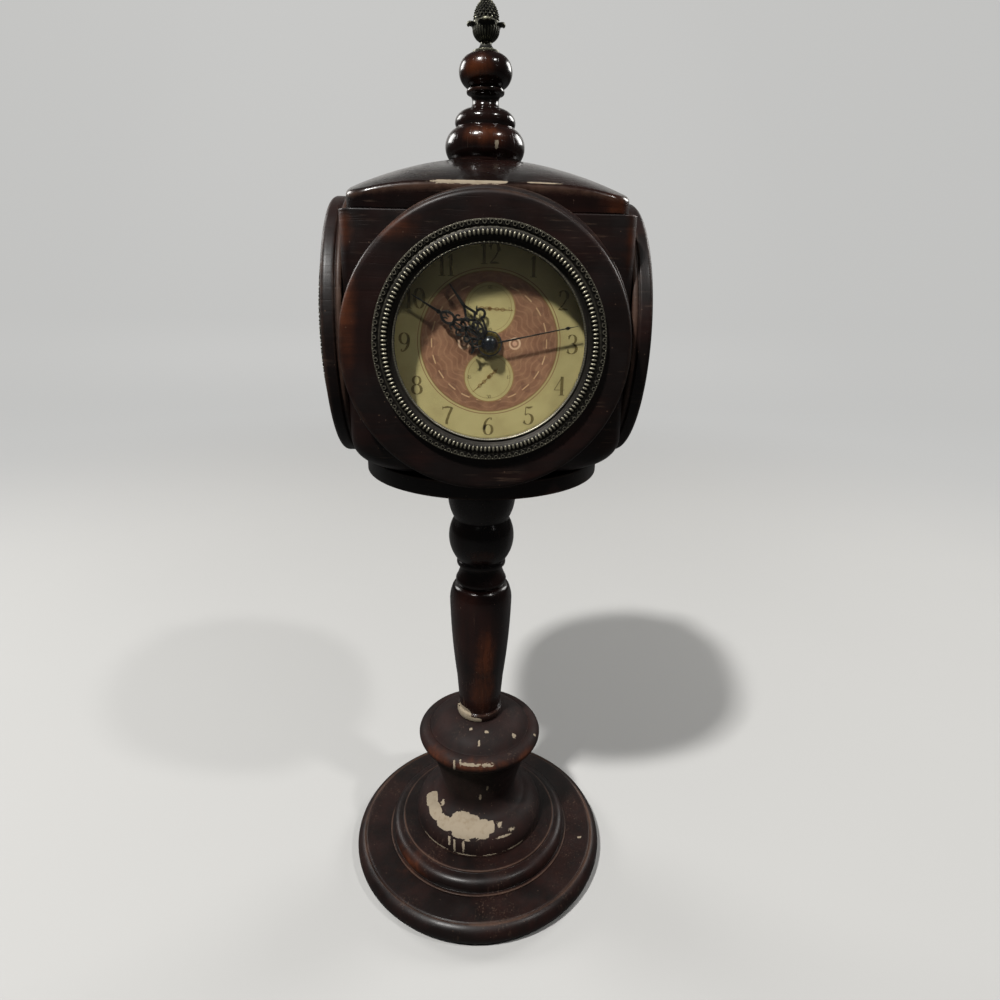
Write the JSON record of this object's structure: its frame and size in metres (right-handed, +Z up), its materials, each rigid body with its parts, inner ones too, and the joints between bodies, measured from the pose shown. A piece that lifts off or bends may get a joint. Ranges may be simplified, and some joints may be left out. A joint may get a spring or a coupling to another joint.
{
  "type": "four-faced mantel clock",
  "caption": "Tall wooden mantel clock: a square head with a round dial on each side turns on a turned pedestal, and its finialed roof lifts off",
  "frame": {"origin": "centre of the underside of the felt pad", "axes": "+Z up along the pedestal; the dial shown first looks along -Y; +X to that dial's right"},
  "size_m": [0.1838, 0.1838, 0.5492],
  "materials": {
    "lacquered_wood": "glossy dark red-brown lacquer, worn to orange and cream at its edges",
    "bronze": "antique bronze, rubbed bright on its beads",
    "clear_glass": "flat and clear",
    "dial_paper": "printed, aged cream",
    "black_metal": "satin black",
    "black_plastic": "moulded",
    "nylon": "smooth",
    "steel": "zinc plated",
    "felt": "pressed felt",
    "cell_jacket": "foil jacket"
  },
  "bodies": {
    "base": {"felt_pad": "felt", "base_plinth": "lacquered_wood", "base_step": "lacquered_wood", "pedestal_bell": "lacquered_wood", "column": "lacquered_wood", "thrust_washer": "nylon", "tie_rod": "steel", "base_nut": "steel", "lock_nut": "steel"},
    "head": {"turntable_plate": "lacquered_wood", "case_floor": "lacquered_wood", "front_wall": "lacquered_wood", "front_ring": "lacquered_wood", "front_bezel": "bronze", "front_glass": "clear_glass", "front_dial": "dial_paper", "front_movement": "black_plastic", "front_cell": "cell_jacket", "right_wall": "lacquered_wood", "right_ring": "lacquered_wood", "right_bezel": "bronze", "right_glass": "clear_glass", "right_dial": "dial_paper", "right_movement": "black_plastic", "right_cell": "cell_jacket", "back_wall": "lacquered_wood", "back_ring": "lacquered_wood", "back_bezel": "bronze", "back_glass": "clear_glass", "back_dial": "dial_paper", "back_movement": "black_plastic", "back_cell": "cell_jacket", "left_wall": "lacquered_wood", "left_ring": "lacquered_wood", "left_bezel": "bronze", "left_glass": "clear_glass", "left_dial": "dial_paper", "left_movement": "black_plastic", "left_cell": "cell_jacket"},
    "lid": {"roof": "lacquered_wood", "wood_finial": "lacquered_wood", "acorn_finial": "bronze", "finial_stud": "steel"},
    "front_hour": {"front_hour_hand": "black_metal"},
    "front_minute": {"front_minute_hand": "black_metal"},
    "front_second": {"front_second_hand": "black_metal"},
    "front_knob": {"front_set_knob": "black_plastic"},
    "right_hour": {"right_hour_hand": "black_metal"},
    "right_minute": {"right_minute_hand": "black_metal"},
    "right_second": {"right_second_hand": "black_metal"},
    "right_knob": {"right_set_knob": "black_plastic"},
    "back_hour": {"back_hour_hand": "black_metal"},
    "back_minute": {"back_minute_hand": "black_metal"},
    "back_second": {"back_second_hand": "black_metal"},
    "back_knob": {"back_set_knob": "black_plastic"},
    "left_hour": {"left_hour_hand": "black_metal"},
    "left_minute": {"left_minute_hand": "black_metal"},
    "left_second": {"left_second_hand": "black_metal"},
    "left_knob": {"left_set_knob": "black_plastic"}
  },
  "joints": [
    {"name": "head_swivel", "type": "hinge", "parent": "base", "child": "head", "pos_m": [0, 0, 0.3056], "axis": [0, 0, 1], "continuous": true},
    {"name": "roof_lift", "type": "slide", "parent": "head", "child": "lid", "axis": [0, 0, 1], "range_m": [0, 0.1]},
    {"name": "front_hour_turn", "type": "hinge", "parent": "head", "child": "front_hour", "pos_m": [0, -0.07, 0.3856], "axis": [0, 1, 0], "continuous": true},
    {"name": "front_minute_turn", "type": "hinge", "parent": "head", "child": "front_minute", "pos_m": [0, -0.07, 0.3856], "axis": [0, 1, 0], "continuous": true},
    {"name": "front_second_turn", "type": "hinge", "parent": "head", "child": "front_second", "pos_m": [0, -0.07, 0.3856], "axis": [0, 1, 0], "continuous": true},
    {"name": "front_knob_turn", "type": "hinge", "parent": "head", "child": "front_knob", "pos_m": [0, -0.054, 0.3986], "axis": [0, 1, 0], "continuous": true},
    {"name": "right_hour_turn", "type": "hinge", "parent": "head", "child": "right_hour", "pos_m": [0.07, 0, 0.3856], "axis": [-1, 0, 0], "continuous": true},
    {"name": "right_minute_turn", "type": "hinge", "parent": "head", "child": "right_minute", "pos_m": [0.07, 0, 0.3856], "axis": [-1, 0, 0], "continuous": true},
    {"name": "right_second_turn", "type": "hinge", "parent": "head", "child": "right_second", "pos_m": [0.07, 0, 0.3856], "axis": [-1, 0, 0], "continuous": true},
    {"name": "right_knob_turn", "type": "hinge", "parent": "head", "child": "right_knob", "pos_m": [0.054, 0, 0.3986], "axis": [-1, 0, 0], "continuous": true},
    {"name": "back_hour_turn", "type": "hinge", "parent": "head", "child": "back_hour", "pos_m": [0, 0.07, 0.3856], "axis": [0, -1, 0], "continuous": true},
    {"name": "back_minute_turn", "type": "hinge", "parent": "head", "child": "back_minute", "pos_m": [0, 0.07, 0.3856], "axis": [0, -1, 0], "continuous": true},
    {"name": "back_second_turn", "type": "hinge", "parent": "head", "child": "back_second", "pos_m": [0, 0.07, 0.3856], "axis": [0, -1, 0], "continuous": true},
    {"name": "back_knob_turn", "type": "hinge", "parent": "head", "child": "back_knob", "pos_m": [0, 0.054, 0.3986], "axis": [0, -1, 0], "continuous": true},
    {"name": "left_hour_turn", "type": "hinge", "parent": "head", "child": "left_hour", "pos_m": [-0.07, 0, 0.3856], "axis": [1, 0, 0], "continuous": true},
    {"name": "left_minute_turn", "type": "hinge", "parent": "head", "child": "left_minute", "pos_m": [-0.07, 0, 0.3856], "axis": [1, 0, 0], "continuous": true},
    {"name": "left_second_turn", "type": "hinge", "parent": "head", "child": "left_second", "pos_m": [-0.07, 0, 0.3856], "axis": [1, 0, 0], "continuous": true},
    {"name": "left_knob_turn", "type": "hinge", "parent": "head", "child": "left_knob", "pos_m": [-0.054, 0, 0.3986], "axis": [1, 0, 0], "continuous": true}
  ],
  "couplings": [
    {"joint": "front_hour_turn", "follows": "front_minute_turn", "ratio": 0.083333},
    {"joint": "front_knob_turn", "follows": "front_minute_turn", "ratio": -0.33333},
    {"joint": "right_hour_turn", "follows": "right_minute_turn", "ratio": 0.083333},
    {"joint": "right_knob_turn", "follows": "right_minute_turn", "ratio": -0.33333},
    {"joint": "back_hour_turn", "follows": "back_minute_turn", "ratio": 0.083333},
    {"joint": "back_knob_turn", "follows": "back_minute_turn", "ratio": -0.33333},
    {"joint": "left_hour_turn", "follows": "left_minute_turn", "ratio": 0.083333},
    {"joint": "left_knob_turn", "follows": "left_minute_turn", "ratio": -0.33333}
  ]
}
